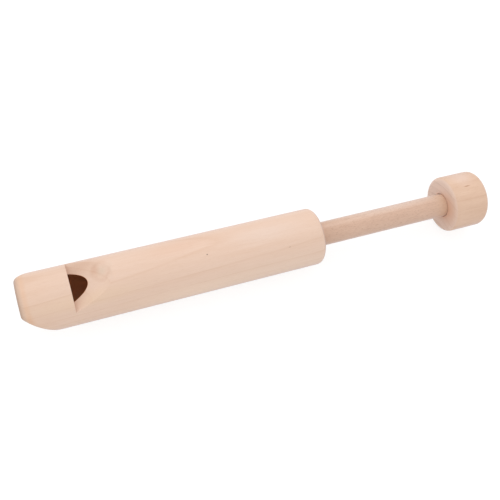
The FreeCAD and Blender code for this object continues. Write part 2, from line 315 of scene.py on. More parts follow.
def feed(tree, node, inputs):
    """Sets or links a node's inputs by their name or number.

    An input takes a value, a socket, or a node, which stands for its first output.
    """
    for name, value in inputs.items():
        if isinstance(value, bpy.types.Node):
            value = value.outputs[0]
        if isinstance(value, bpy.types.NodeSocket):
            tree.links.new(value, node.inputs[name])
        else:
            node.inputs[name].default_value = value


def add_node(tree, kind, inputs=None, **settings):
    """Adds a node with its settings, and feeds its inputs."""
    node = tree.nodes.new(kind)
    for name, value in settings.items():
        setattr(node, name, value)
    feed(tree, node, inputs or {})
    return node


def empty_tree(owner):
    """The node tree of a material or a world, with nothing in it."""
    owner.use_nodes = True
    owner.node_tree.nodes.clear()
    return owner.node_tree


def new_material(name):
    """A material with an empty shader, and the place and facing of a point on its piece.

    The place is in millimetres.
    """
    material = bpy.data.materials.new(name)
    tree = empty_tree(material)
    shader = add_node(tree, "ShaderNodeBsdfPrincipled")
    add_node(tree, "ShaderNodeOutputMaterial", {"Surface": shader})
    coordinates = add_node(tree, "ShaderNodeTexCoord").outputs
    place = add_node(
        tree, "ShaderNodeVectorMath",
        {0: coordinates["Object"], "Scale": MM_PER_M}, operation="SCALE",
    )
    return material, shader, place, coordinates["Normal"]


def grain(tree, place, size_mm, seed, detail=1.0):
    """Cloudy grain whose streaks have a length along X and a width, moved aside by a seed."""
    length, width = size_mm
    stretched = add_node(
        tree, "ShaderNodeVectorMath",
        {0: place, 1: (1 / length, 1 / width, 1 / width), 2: (seed, seed, seed)},
        operation="MULTIPLY_ADD",
    )
    return add_node(
        tree, "ShaderNodeTexNoise", {"Vector": stretched, "Scale": 1.0, "Detail": detail}
    )


def mark(tree, place, centre, reach, depth, inner=0.0, outer=1.0):
    """A soft mark round a centre: depth at the share inner of its reach, and none at outer."""
    away = add_node(tree, "ShaderNodeVectorMath", {0: place, 1: centre}, operation="SUBTRACT")
    scaled = add_node(tree, "ShaderNodeVectorMath", {0: away, 1: reach}, operation="DIVIDE")
    length = add_node(tree, "ShaderNodeVectorMath", {0: scaled}, operation="LENGTH")
    from_inner = add_node(
        tree, "ShaderNodeMath", {0: length.outputs["Value"], 1: inner}, operation="SUBTRACT"
    )
    either_way = add_node(tree, "ShaderNodeMath", {0: from_inner}, operation="ABSOLUTE")
    return add_node(
        tree, "ShaderNodeMapRange",
        {"Value": either_way, "From Min": outer - inner, "From Max": 0.0, "To Max": depth},
        interpolation_type="SMOOTHSTEP",
    )


def growth_rings(tree, place, along, look, ring_mm):
    """Rings round the pith, from 0 in early wood to the wood's ring depth in late wood's line."""
    drift = add_node(
        tree, "ShaderNodeVectorMath",
        {0: (1.0, *look["pith_lean"]), "Scale": along}, operation="SCALE",
    )
    beside = add_node(tree, "ShaderNodeVectorMath", {0: place, 1: drift}, operation="SUBTRACT")
    across = add_node(
        tree, "ShaderNodeVectorMath", {0: beside, 1: (0.0, *look["pith_mm"])}, operation="SUBTRACT"
    )
    from_pith = add_node(tree, "ShaderNodeVectorMath", {0: across}, operation="LENGTH")
    wander = add_node(
        tree, "ShaderNodeMapRange",
        {
            "Value": grain(tree, place, look["wander_grain_mm"], look["seed"]),
            "To Min": -look["wander_mm"] / 2, "To Max": look["wander_mm"] / 2,
        },
    )
    radius = add_node(
        tree, "ShaderNodeMath", {0: from_pith.outputs["Value"], 1: wander}, operation="ADD"
    )
    years = add_node(
        tree, "ShaderNodeMath",
        {0: radius, 1: 1 / ring_mm, 2: LATE_WOOD - look["ring_line_mm"] / ring_mm},
        operation="MULTIPLY_ADD",
    )
    year = add_node(tree, "ShaderNodeMath", {0: years}, operation="FRACT")
    late = add_node(tree, "ShaderNodeValToRGB", {0: year})
    stops = late.color_ramp.elements
    for stop in stops:
        stop.color = (0.0, 0.0, 0.0, 1.0)
    for position, tone in RING_TONES:
        stops.new(position).color = (tone, tone, tone, 1.0)
    patches = grain(tree, place, look["patch_grain_mm"], look["seed"] + ASIDE["line"])
    fade = add_node(
        tree, "ShaderNodeMapRange",
        {
            "Value": patches, "From Min": LINE_NOISE[0], "From Max": LINE_NOISE[1],
            "To Min": FAINTEST_LINE * look["ring_depth"], "To Max": look["ring_depth"],
        },
    )
    return add_node(tree, "ShaderNodeMath", {0: late, 1: fade}, operation="MULTIPLY")


def wood_tone(tree, place, look, rings, fibre):
    """How deep the wood's colour is: rings, fibres and the clouds that sanding leaves, added up."""
    cloud = grain(
        tree, place, look["cloud_grain_mm"], look["seed"] + ASIDE["cloud"], detail=2.0
    )
    tone = rings
    for pattern, depth in ((fibre, look["fibre_depth"]), (cloud, look["cloud_depth"])):
        tone = add_node(
            tree, "ShaderNodeMath", {0: pattern, 1: depth, 2: tone}, operation="MULTIPLY_ADD"
        )
    middle = (look["fibre_depth"] + look["cloud_depth"]) / 2
    return add_node(
        tree, "ShaderNodeMath", {0: tone, 1: look["tone"] - middle}, operation="ADD", use_clamp=True
    )


def end_grain_shade_and_highlight(tree, endwise, look, rings):
    """End grain, with soaked-up dirt, painted shade and late wood's arcs, and painted highlight on
    rounded edges.
    """
    # End grain's tint on faces turned along the axis, partly painted shade
    share = add_node(
        tree, "ShaderNodeMapRange",
        {
            "Value": endwise, "From Min": END_GRAIN_AND_SHADE[0], "From Max": END_GRAIN_AND_SHADE[1],
            "To Max": look["end_grain_and_shade_depth"],
        },
    )
    arcs = add_node(
        tree, "ShaderNodeMix",
        {0: rings, 6: linear(look["end_grain_and_shade"]), 7: linear(look["end_ring"])}, data_type="RGBA",
    )
    # The painted highlight: a paler band along a rounded edge
    tilt = add_node(tree, "ShaderNodeMath", {0: endwise, 1: ROUNDING_TILT}, operation="SUBTRACT")
    from_middle = add_node(tree, "ShaderNodeMath", {0: tilt}, operation="ABSOLUTE")
    highlight_band = add_node(
        tree, "ShaderNodeMapRange",
        {
            "Value": from_middle, "From Min": ROUNDING_HIGHLIGHT_BAND[0], "From Max": ROUNDING_HIGHLIGHT_BAND[1],
            "To Max": look["rounding_highlight_depth"],
        },
        interpolation_type="SMOOTHSTEP",
    )
    return [(share, arcs.outputs[2]), (highlight_band, linear(look["rounding_highlight"]))]


def stain_and_painted_light_layers(tree, place, along, look, pores):
    """Eyes, stains and painted light, pores, pin knots and tinted and shaded ends, in the order in
    which they lie.
    """
    wobble = grain(tree, place, look["wobble_grain_mm"], look["seed"] + ASIDE["wobble"])
    moved = add_node(
        tree, "ShaderNodeVectorMath",
        {0: wobble.outputs["Color"], 1: (look["wobble_mm"],) * 3, 2: place},
        operation="MULTIPLY_ADD",
    )
    layers = []
    for centre, reach, tint, depth in look["eyes_mm"]:
        layers.append((mark(tree, moved, centre, reach, depth, *EYE_OUTLINE), linear(tint)))
    for centre, reach, tint, depth in look["stains_and_painted_light_mm"]:
        layers.append((mark(tree, place, centre, reach, depth), linear(tint)))
    layers.append((pores, linear(look["pore_colour"])))
    for centre, reach, tint, depth in look["pin_knots_mm"]:
        layers.append((mark(tree, place, centre, reach, depth), linear(tint)))
    for start, end, tint, depth in look["end_tints_and_shade_mm"]:
        share = add_node(
            tree, "ShaderNodeMapRange",
            {"Value": along, "From Min": start, "From Max": end, "To Min": depth, "To Max": 0.0},
            interpolation_type="SMOOTHSTEP",
        )
        layers.append((share, linear(tint)))
    return layers


def scorched_and_shaded_wall(tree, place, endwise, look):
    """1 on the wall of the piece's drilled hole, which is scorched brown and carries painted shade."""
    beside = add_node(
        tree, "ShaderNodeVectorMath", {0: place, 1: (0.0, 1.0, 1.0)}, operation="MULTIPLY"
    )
    from_axis = add_node(tree, "ShaderNodeVectorMath", {0: beside}, operation="LENGTH")
    on_wall = add_node(
        tree, "ShaderNodeMath",
        {0: from_axis.outputs["Value"], 1: look["bore_radius_mm"], 2: look["bore_reach_mm"]},
        operation="COMPARE",
    )
    sideways = add_node(tree, "ShaderNodeMath", {0: endwise, 1: WALL_TILT}, operation="LESS_THAN")
    return add_node(tree, "ShaderNodeMath", {0: on_wall, 1: sideways}, operation="MULTIPLY")


def wood(name, look, finish):
    """Bare sanded wood, cut from a tree whose pith runs past the piece at a small lean.

    Its growth rings show as arches and lines along the piece and as arcs on its ends. Fine
    fibres and pores run along X.
    """
    pale, deep, bore, ring = finish
    material, shader, place, facing = new_material(name)
    tree = material.node_tree
    along = add_node(tree, "ShaderNodeSeparateXYZ", {0: place}).outputs["X"]
    lengthwise = add_node(tree, "ShaderNodeSeparateXYZ", {0: facing}).outputs["X"]
    endwise = add_node(tree, "ShaderNodeMath", {0: lengthwise}, operation="ABSOLUTE")
    rings = growth_rings(tree, place, along, look, ring / MM)
    fibre = grain(
        tree, place, look["fibre_grain_mm"], look["seed"] + ASIDE["fibre"], detail=3.0
    )
    pores = add_node(
        tree, "ShaderNodeMapRange",
        {
            "Value": grain(tree, place, look["pore_grain_mm"], look["seed"] + ASIDE["pore"]),
            "From Min": PORE_NOISE[0], "From Max": PORE_NOISE[1], "To Max": look["pore_depth"],
        },
    )

    # Each layer lets its colour through as far as its share says, over the ones before it
    layers = [
        (wood_tone(tree, place, look, rings, fibre), deep),
        *end_grain_shade_and_highlight(tree, endwise, look, rings),
        *stain_and_painted_light_layers(tree, place, along, look, pores),
        (scorched_and_shaded_wall(tree, place, endwise, look), bore),
    ]
    colour = pale
    for share, tint in layers:
        mixed = add_node(tree, "ShaderNodeMix", {0: share, 6: colour, 7: tint}, data_type="RGBA")
        colour = mixed.outputs[2]
    relief = add_node(tree, "ShaderNodeMath", {0: fibre, 1: pores}, operation="SUBTRACT")
    bump = add_node(
        tree, "ShaderNodeBump",
        {"Strength": 0.35, "Distance": look["relief_mm"] * MM, "Height": relief},
    )
    rough = add_node(
        tree, "ShaderNodeMapRange",
        {
            "Value": fibre, "To Min": look["roughness"] - ROUGHNESS_SPREAD,
            "To Max": look["roughness"] + ROUGHNESS_SPREAD,
        },
    )

    # The sheen is loose fibres, which catch cool light where a side turns away
    feed(tree, shader, {
        "Base Color": colour, "Roughness": rough, "Normal": bump, "IOR": 1.45,
        "Specular IOR Level": look["gloss"], "Sheen Weight": 0.5, "Sheen Roughness": 0.3,
        "Sheen Tint": linear("#DDE8FF"),
    })
    return material


def wool_felt(pale, shade):
    """Pressed wool felt: matt and cloudy, of matted fibres drawn 0.15 mm wide so that they show."""
    material, shader, place, _ = new_material("wool felt, pressed")
    tree = material.node_tree
    matted = grain(tree, place, size_mm=(0.3, 0.15), seed=2.0, detail=4.0)
    cloud = grain(tree, place, size_mm=(2.0, 2.0), seed=5.0, detail=2.0)
    tone = add_node(tree, "ShaderNodeMath", {0: matted, 1: cloud}, operation="MULTIPLY")
    share = add_node(tree, "ShaderNodeMapRange", {"Value": tone, "From Min": 0.1, "From Max": 0.45})
    colour = add_node(tree, "ShaderNodeMix", {0: share, 6: shade, 7: pale}, data_type="RGBA")
    bump = add_node(
        tree, "ShaderNodeBump", {"Strength": 0.8, "Distance": 0.08 * MM, "Height": matted}
    )
    feed(tree, shader, {
        "Base Color": colour.outputs[2], "Normal": bump, "Roughness": 0.95,
        "Specular IOR Level": 0.15, "Sheen Weight": 0.3, "Sheen Roughness": 0.6,
    })
    return material


def zinc_plate(light, dark):
    """Zinc plated steel: a soft grey shine, blotched where the plating's crystals differ."""
    material, shader, place, _ = new_material("steel, zinc plated")
    tree = material.node_tree
    blotch = grain(tree, place, size_mm=(0.7, 0.7), seed=6.0, detail=3.0)
    rolled = grain(tree, place, size_mm=(0.05, 3.0), seed=9.0, detail=2.0)
    colour = add_node(tree, "ShaderNodeMix", {0: blotch, 6: dark, 7: light}, data_type="RGBA")
    rough = add_node(tree, "ShaderNodeMapRange", {"Value": blotch, "To Min": 0.25, "To Max": 0.45})
    bump = add_node(
        tree, "ShaderNodeBump", {"Strength": 0.3, "Distance": 0.01 * MM, "Height": rolled}
    )
    feed(tree, shader, {
        "Base Color": colour.outputs[2], "Roughness": rough, "Normal": bump, "Metallic": 1.0,
    })
    return material


def seen_directly(tree):
    """1 where a backdrop is seen, also in metal or through glass, and 0 where it only lights."""
    ray = add_node(tree, "ShaderNodeLightPath").outputs
    seen = ray["Is Camera Ray"]
    for kind in ("Is Glossy Ray", "Is Transmission Ray"):
        seen = add_node(tree, "ShaderNodeMath", {0: seen, 1: ray[kind]}, operation="MAXIMUM")
    return seen


def studio_paper(shade, glow):
    """White paper that shows as plain white, and keeps a soft shadow of the whistle."""
    material = bpy.data.materials.new("paper, matt white")
    tree = empty_tree(material)
    place = add_node(tree, "ShaderNodeTexCoord").outputs["Object"]
    fibre = add_node(tree, "ShaderNodeTexNoise", {"Vector": place, "Scale": 1 / PAPER_FIBRE})
    bump = add_node(
        tree, "ShaderNodeBump", {"Strength": 0.1, "Distance": 0.01 * MM, "Height": fibre}
    )
    lit = add_node(tree, "ShaderNodeBsdfDiffuse", {"Color": linear("#E8E8E8"), "Normal": bump})
    soft = add_node(tree, "ShaderNodeBsdfDiffuse", {"Color": shade, "Normal": bump})
    bright = add_node(tree, "ShaderNodeEmission", {"Color": linear("#FFFFFF"), "Strength": glow})
    shown = add_node(tree, "ShaderNodeAddShader", {0: soft, 1: bright})
    mix = add_node(tree, "ShaderNodeMixShader", {0: seen_directly(tree), 1: lit, 2: shown})
    add_node(tree, "ShaderNodeOutputMaterial", {"Surface": mix})
    return material


def new_tree(name, sockets):
    """An empty geometry tree with named inputs, and its input sockets."""
    tree = bpy.data.node_groups.new(name, "GeometryNodeTree")
    for socket, kind in sockets.items():
        tree.interface.new_socket(socket, in_out="INPUT", socket_type=f"NodeSocket{kind}")
    tree.interface.new_socket("Geometry", in_out="OUTPUT", socket_type="NodeSocketGeometry")
    return tree, add_node(tree, "NodeGroupInput").outputs


def finish_tree(tree, geometry, material):
    """Ends a geometry tree with real meshes that carry a material."""
    real = add_node(tree, "GeometryNodeRealizeInstances", {"Geometry": geometry})
    coated = add_node(tree, "GeometryNodeSetMaterial", {"Geometry": real, "Material": material})
    add_node(tree, "NodeGroupOutput", {"Geometry": coated})


def lathe():
    """A tree that turns an outline, drawn as a curve in XZ, right round the X axis."""
    tree, given = new_tree("Turn on the lathe", {
        "Geometry": "Geometry", "Outline": "Object", "Steps Round": "Int", "Material": "Material",
    })
    outline = add_node(tree, "GeometryNodeObjectInfo", {"Object": given["Outline"]})
    curve = outline.outputs["Geometry"]
    points = add_node(
        tree, "GeometryNodeAttributeDomainSize", {"Geometry": curve}, component="CURVE"
    ).outputs["Point Count"]
    columns = add_node(
        tree, "FunctionNodeIntegerMath", {0: given["Steps Round"], 1: 1}, operation="ADD"
    )
    grid = add_node(tree, "GeometryNodeMeshGrid", {"Vertices X": points, "Vertices Y": columns})

    # A row of the grid is one point of the outline, and a column is one step round
    index = add_node(tree, "GeometryNodeInputIndex")
    row = add_node(tree, "FunctionNodeIntegerMath", {0: index, 1: columns}, operation="DIVIDE")
    column = add_node(tree, "FunctionNodeIntegerMath", {0: index, 1: columns}, operation="MODULO")
    on_outline = add_node(
        tree, "GeometryNodeSampleIndex",
        {"Geometry": curve, "Value": add_node(tree, "GeometryNodeInputPosition"), "Index": row},
        data_type="FLOAT_VECTOR", domain="POINT",
    )
    part = add_node(tree, "ShaderNodeSeparateXYZ", {0: on_outline}).outputs
    turn = add_node(
        tree, "ShaderNodeMath", {0: column, 1: given["Steps Round"]}, operation="DIVIDE"
    )
    angle = add_node(tree, "ShaderNodeMath", {0: turn, 1: math.tau}, operation="MULTIPLY")
    sides = []
    for operation in ("SINE", "COSINE"):
        wave = add_node(tree, "ShaderNodeMath", {0: angle}, operation=operation)
        side = add_node(tree, "ShaderNodeMath", {0: part["Z"], 1: wave}, operation="MULTIPLY")
        sides.append(side)
    where = add_node(tree, "ShaderNodeCombineXYZ", {0: part["X"], 1: sides[0], 2: sides[1]})
    swept = add_node(tree, "GeometryNodeSetPosition", {"Geometry": grid, "Position": where})
    closed = add_node(tree, "GeometryNodeMergeByDistance", {"Geometry": swept, "Distance": WELD})

    # Smooth all round, with a crisp line where the outline turns a corner
    smooth = add_node(tree, "GeometryNodeSetShadeSmooth", {"Geometry": closed})
    fold = add_node(tree, "GeometryNodeInputMeshEdgeAngle")
    corner = add_node(
        tree, "FunctionNodeCompare",
        {0: fold, 1: CRISP_ANGLE}, data_type="FLOAT", operation="GREATER_THAN",
    )
    crisp = add_node(
        tree, "GeometryNodeSetShadeSmooth",
        {"Geometry": smooth, "Selection": corner, "Shade Smooth": False}, domain="EDGE",
    )
    finish_tree(tree, crisp, given["Material"])
    return tree


def raise_nap():
    """A tree that grows short loose fibres on felt."""
    tree, given = new_tree("Raise the nap", {
        "Geometry": "Geometry", "Fibres per Square Metre": "Float", "Fibre Length": "Float",
        "Fibre Radius": "Float", "Seed": "Int", "Material": "Material",
    })
    roots = add_node(
        tree, "GeometryNodeDistributePointsOnFaces",
        {
            "Mesh": given["Geometry"], "Density": given["Fibres per Square Metre"],
            "Seed": given["Seed"],
        },
    )
    fibre = add_node(
        tree, "GeometryNodeMeshCone",
        {"Vertices": 3, "Radius Bottom": given["Fibre Radius"], "Depth": given["Fibre Length"]},
        fill_type="NGON",
    )
    most = Vector((FIBRE_LEAN, FIBRE_LEAN, math.pi))
    lean = add_node(
        tree, "FunctionNodeRandomValue",
        {0: -most, 1: most, "Seed": given["Seed"]}, data_type="FLOAT_VECTOR",
    )
    standing = add_node(
        tree, "FunctionNodeRotateRotation",
        {0: roots.outputs["Rotation"], 1: lean}, rotation_space="LOCAL",
    )
    nap = add_node(
        tree, "GeometryNodeInstanceOnPoints",
        {"Points": roots, "Instance": fibre, "Rotation": standing},
    )
    joined = add_node(tree, "GeometryNodeJoinGeometry", {0: nap})
    tree.links.new(given["Geometry"], joined.inputs[0])
    finish_tree(tree, joined, given["Material"])
    return tree


def cut_thread():
    """A tree that winds a thread on a screw's shank along X and cuts the slot in its head."""
    tree, given = new_tree("Cut the thread", {
        "Geometry": "Geometry", "Turns": "Float", "Core Radius": "Float", "Thread Depth": "Float",
        "Length": "Float", "Start": "Vector", "Slot Size": "Vector", "Slot Place": "Vector",
        "Material": "Material",
    })
    helix = add_node(
        tree, "GeometryNodeCurveSpiral",
        {
            "Resolution": 24, "Rotations": given["Turns"], "Start Radius": given["Core Radius"],
            "End Radius": given["Core Radius"], "Height": given["Length"],
        },
    )
    ridge = add_node(
        tree, "GeometryNodeCurvePrimitiveCircle",
        {"Resolution": 4, "Radius": given["Thread Depth"]}, mode="RADIUS",
    )
    wound = add_node(
        tree, "GeometryNodeCurveToMesh", {"Curve": helix, "Profile Curve": ridge, "Fill Caps": True}
    )
    along_x = add_node(
        tree, "GeometryNodeTransform",
        {"Geometry": wound, "Translation": given["Start"], "Rotation": (0.0, math.pi / 2, 0.0)},
    )
    cutter = add_node(tree, "GeometryNodeMeshCube", {"Size": given["Slot Size"]})
    placed = add_node(
        tree, "GeometryNodeTransform", {"Geometry": cutter, "Translation": given["Slot Place"]}
    )
    slotted = add_node(
        tree, "GeometryNodeMeshBoolean",
        {"Mesh 1": given["Geometry"], "Mesh 2": placed}, operation="DIFFERENCE", solver="EXACT",
    )
    joined = add_node(tree, "GeometryNodeJoinGeometry", {0: along_x})
    tree.links.new(slotted.outputs[0], joined.inputs[0])
    finish_tree(tree, joined, given["Material"])
    return tree


def quarter_round(centre_along, centre_out, radius, start, end, steps=EDGE_STEPS):
    """Points on a quarter of a circle, from one angle to another in degrees."""
    points = []
    for step in range(steps + 1):
        angle = math.radians(start + (end - start) * step / steps)
        along, out = radius * math.cos(angle), radius * math.sin(angle)
        points.append((centre_along + along, centre_out + out))
    return points


def shape_with(tree, blank, name, values):
    """A piece with the plain mesh that a tree, given its values by name, makes of a blank."""
    modifier = blank.modifiers.new(tree.name, "NODES")
    modifier.node_group = tree
    for item in tree.interface.items_tree:
        if item.in_out == "INPUT" and item.name in values:
            modifier[item.identifier] = values[item.name]
    bpy.context.view_layer.update()
    evaluated = blank.evaluated_get(bpy.context.evaluated_depsgraph_get())
    mesh = bpy.data.meshes.new_from_object(evaluated)
    mesh.name = name
    bpy.data.objects.remove(blank)
    piece = bpy.data.objects.new(name, mesh)
    bpy.context.scene.collection.objects.link(piece)
    return piece


def turned(name, outline, material, steps):
    """A piece turned on the lathe from an outline of points along X and out from the axis."""
    data = bpy.data.curves.new(f"{name}_outline", "CURVE")
    data.dimensions = "3D"
    spline = data.splines.new("POLY")
    spline.points.add(len(outline) - 1)
    for point, (along, out) in zip(spline.points, outline):
        point.co = (along, 0.0, out, 1.0)
    curve = bpy.data.objects.new(f"{name}_outline", data)
    blank = bpy.data.objects.new(f"{name}_blank", bpy.data.meshes.new(f"{name}_blank"))
    for item in (curve, blank):
        bpy.context.scene.collection.objects.link(item)
    tree = bpy.data.node_groups.get("Turn on the lathe") or lathe()
    values = {"Outline": curve, "Steps Round": steps, "Material": material}
    piece = shape_with(tree, blank, name, values)
    bpy.data.objects.remove(curve)
    return piece


def stand_for(piece, body, node):
    """The piece rides on a body and is shown in place of its CAD node."""
    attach(piece, body)
    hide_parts(node)


def merged_copy(node):
    """A copy of a CAD node's mesh, its loose triangles joined at their points, shaded as before."""
    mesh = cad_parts[node].data.copy()
    normals = [corner.vector.copy() for corner in mesh.corner_normals]
    shell = bmesh.new()
    shell.from_mesh(mesh)
    bmesh.ops.remove_doubles(shell, verts=shell.verts, dist=WELD)
    shell.to_mesh(mesh)
    shell.free()
    mesh.normals_split_custom_set(normals)
    return mesh


def recut_ramp(mesh, foot, length):
    """Moves the ramp of the barrel's mesh to a new foot, above the axis, and a new length.

    Each of its points stays on its own wall, outside or in the bore.
    """
    old_slope = (BARREL_RADIUS - CAD_RAMP_FOOT) / CAD_RAMP_LENGTH
    slope = (BARREL_RADIUS - foot) / length
    for vertex in mesh.vertices:
        along, across, up = vertex.co
        off_ramp = up - CAD_RAMP_FOOT - (along - STEP) * old_slope
        if along < STEP - SAME_PLACE or abs(off_ramp) > SAME_PLACE:
            continue
        wall = math.hypot(across, up)
        up = wall - (wall - up) * (wall - foot) / (wall - CAD_RAMP_FOOT)
        across = math.copysign(math.sqrt(max(wall ** 2 - up ** 2, 0.0)), across)
        vertex.co = (STEP + (up - foot) / slope, across, up)


def coat(material, *nodes):
    """Gives CAD nodes a material."""
    for node in nodes:
        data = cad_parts[node].data
        data.materials.clear()
        data.materials.append(material)


class WHISTLE_PG_finish(bpy.types.PropertyGroup):
    """Colours of the woods, felt and zinc, and the width of the growth rings"""

    barrel_pale: colour_setting("Barrel Pale", "The barrel's palest maple", "#F1D4C1")
    barrel_deep: colour_setting("Barrel Deep", "The barrel's maple in a ring's dark line", "#DCB497")
    rod_pale: colour_setting("Rod Pale", "The rod's palest beech", "#E5C1A8")
    rod_deep: colour_setting("Rod Deep", "The rod's darkest beech", "#BB8F78")
    knob_pale: colour_setting("Knob Pale", "The knob's palest maple", "#E9C7AE")
    knob_deep: colour_setting("Knob Deep", "The knob's maple in a ring's dark line", "#D3A98C")
    # The bore's brown is scorch from the drill and painted shade in the hole
    bore_scorch_and_shade: colour_setting("Bore Brown", "The wall of a drilled hole", "#E39A68")
    felt_pale: colour_setting("Felt Pale", "The felt's palest wool", "#EFE9DC")
    felt_shade: colour_setting("Felt Shade", "The felt's darkest wool", "#C9BEAA")
    zinc_light: colour_setting("Zinc Light", "The plating's lightest crystals", "#C6C8CA")
    zinc_dark: colour_setting("Zinc Dark", "The plating's darkest crystals", "#A9ABAE")
    maple_ring: length_setting(
        "Maple Ring", "Width of one year's growth in the maple", 3.51 * MM, least=0.1 * MM,
    )
    beech_ring: length_setting(
        "Beech Ring", "Width of one year's growth in the beech", 1.9 * MM, least=0.1 * MM,
    )


class WHISTLE_PG_window(bpy.types.PropertyGroup):
    """Sizes of the ramp behind the window"""

    ramp_foot: length_setting(
        "Ramp Foot", "Height of the ramp's foot above the barrel's axis", 7.25 * MM,
    )
    ramp_length: length_setting(
        "Ramp Length", "From the window's step to the ramp's end", 19.0 * MM, least=1.0 * MM,
    )


class WHISTLE_PG_knob(bpy.types.PropertyGroup):
    """Sizes of the knob that its CAD box doesn't give"""

    front_round: length_setting("Front Round", "Radius of the rim towards the barrel", 2.1 * MM)
    back_round: length_setting("Back Round", "Radius of the rim at the far end", 3.2 * MM)
    socket_depth: length_setting("Socket Depth", "How far the rod goes into the knob", 12.0 * MM)
    socket_gap: length_setting(
        "Socket Gap", "Gap all round the rod, which shows as a dark line", 0.15 * MM,
    )
    socket_lip: length_setting("Socket Lip", "Radius of the socket's edge", 0.4 * MM)
    steps_round: bpy.props.IntProperty(
        name="Steps Round", description="Flats in one turn of the lathe", default=160, min=16, max=512,
    )


class WHISTLE_PG_felt(bpy.types.PropertyGroup):
    """Sizes of the packing's felt rings"""

    width: length_setting("Width", "From the ring's hole to its outside", 4.4 * MM)
    edge_round: length_setting("Edge Round", "Radius of the felt's soft edges", 0.4 * MM)
    nap: length_setting("Nap", "Depth of the felt's loose outside", 0.2 * MM)
    fibres_per_mm2: bpy.props.FloatProperty(
        name="Fibres", description="Loose fibres on each square millimetre", default=2.5,
        min=0.0, max=10.0,
    )


class WHISTLE_PG_screw(bpy.types.PropertyGroup):
    """Sizes of the piston's screw and washer"""

    head_height: length_setting("Head Height", "Height of the round head", 2.0 * MM)
    head_round: length_setting("Head Round", "Radius of the head's edge", 1.2 * MM)
    shank_radius: length_setting("Shank Radius", "Radius over the thread", 1.5 * MM)
    plain_length: length_setting(
        "Plain Length", "Shank without a thread, under the head", 3.0 * MM,
    )
    thread_pitch: length_setting(
        "Thread Pitch", "From one turn of the thread to the next", 1.2 * MM, least=0.1 * MM,
    )
    thread_depth: length_setting("Thread Depth", "From the thread's root to its crest", 0.38 * MM)
    slot_width: length_setting("Slot Width", "Width of the driver's slot", 0.8 * MM)
    slot_depth: length_setting("Slot Depth", "Depth of the driver's slot", 0.9 * MM)
    washer_gap: length_setting("Washer Gap", "Gap between the shank and the washer", 0.05 * MM)
    washer_edge: length_setting("Washer Edge", "Radius of the washer's stamped edge", 0.15 * MM)


class WHISTLE_PG_stage(bpy.types.PropertyGroup):
    """Lights, floor and lens"""

    key_power: bpy.props.FloatProperty(
        name="Key Power", description="Power of the soft lamp above and behind", default=1.2,
        min=0.0, unit="POWER",
    )
    air_strength: bpy.props.FloatProperty(
        name="Air Strength", description="Light that comes evenly from all round",
        default=0.88, min=0.0,
    )
    floor_glow: bpy.props.FloatProperty(
        name="Floor Glow", description="How white the floor looks before light falls on it",
        default=0.8, min=0.0, max=1.0,
    )
    floor_shade: colour_setting(
        "Floor Shade", "How much the floor shows of the whistle's shadow", "#959595",
    )
    lens: bpy.props.FloatProperty(
        name="Lens", description="Focal length of the camera", default=51.578, min=1.0, unit="CAMERA",
    )


class WHISTLE_OT_sand_barrel(bpy.types.Operator):
    """Files the barrel's ramp to its full depth and sands the barrel's bare maple"""

    bl_idname = "whistle.sand_barrel"
    bl_label = "Sand the Barrel"

    def execute(self, context):
        finish, sizes = context.scene.whistle_finish, context.scene.whistle_window
        maple = (finish.barrel_pale, finish.barrel_deep, finish.bore_scorch_and_shade, finish.maple_ring)
        mesh = merged_copy("barrel")
        recut_ramp(mesh, sizes.ramp_foot, sizes.ramp_length)
        mesh.materials.clear()
        mesh.materials.append(wood("maple, turned and sanded bare", BARREL_WOOD, maple))
        tube = bpy.data.objects.new("barrel_tube", mesh)
        context.scene.collection.objects.link(tube)
        stand_for(tube, "barrel", "barrel")
        return {"FINISHED"}


class WHISTLE_OT_saw_plugs(bpy.types.Operator):
    """Gives the windway's block and the end bush their sawn maple"""

    bl_idname = "whistle.saw_plugs"
    bl_label = "Saw the Plugs"

    def execute(self, context):
        finish = context.scene.whistle_finish
        maple = (finish.barrel_pale, finish.barrel_deep, finish.bore_scorch_and_shade, finish.maple_ring)
        coat(wood("maple, sawn", PLUG_WOOD, maple), "fipple_block", "end_bush")
        return {"FINISHED"}


class WHISTLE_OT_sand_rod(bpy.types.Operator):
    """Gives the plunger's rod and discs their flecked beech"""

    bl_idname = "whistle.sand_rod"
    bl_label = "Sand the Rod"

    def execute(self, context):
        finish = context.scene.whistle_finish
        beech = (finish.rod_pale, finish.rod_deep, finish.bore_scorch_and_shade, finish.beech_ring)
        material = wood("beech dowel, sanded", ROD_WOOD, beech)
        coat(material, "plunger_rod", "piston_front_disc", "piston_rear_disc")
        return {"FINISHED"}


class WHISTLE_OT_turn_knob(bpy.types.Operator):
    """Turns the knob, with rounded rims and a socket for the rod"""

    bl_idname = "whistle.turn_knob"
    bl_label = "Turn the Knob"

    def execute(self, context):
        finish, sizes = context.scene.whistle_finish, context.scene.whistle_knob
        front, back, radius = KNOB_LOW.x, KNOB_HIGH.x, KNOB_HIGH.z
        socket, lip = ROD_RADIUS + sizes.socket_gap, sizes.socket_lip
        near, far = sizes.front_round, sizes.back_round
        outline = [
            (front + sizes.socket_depth, 0.0),
            (front + sizes.socket_depth, socket),
            *quarter_round(front + lip, socket + lip, lip, 270, 180),
            *quarter_round(front + near, radius - near, near, 180, 90, RIM_STEPS),
            *quarter_round(back - far, radius - far, far, 90, 0, RIM_STEPS),
            (back, 0.0),
        ]
        maple = (finish.knob_pale, finish.knob_deep, finish.bore_scorch_and_shade, finish.maple_ring)
        material = wood("maple, turned and handled", KNOB_WOOD, maple)
        drum = turned("knob_drum", outline, material, sizes.steps_round)
        stand_for(drum, "plunger", "knob")
        return {"FINISHED"}


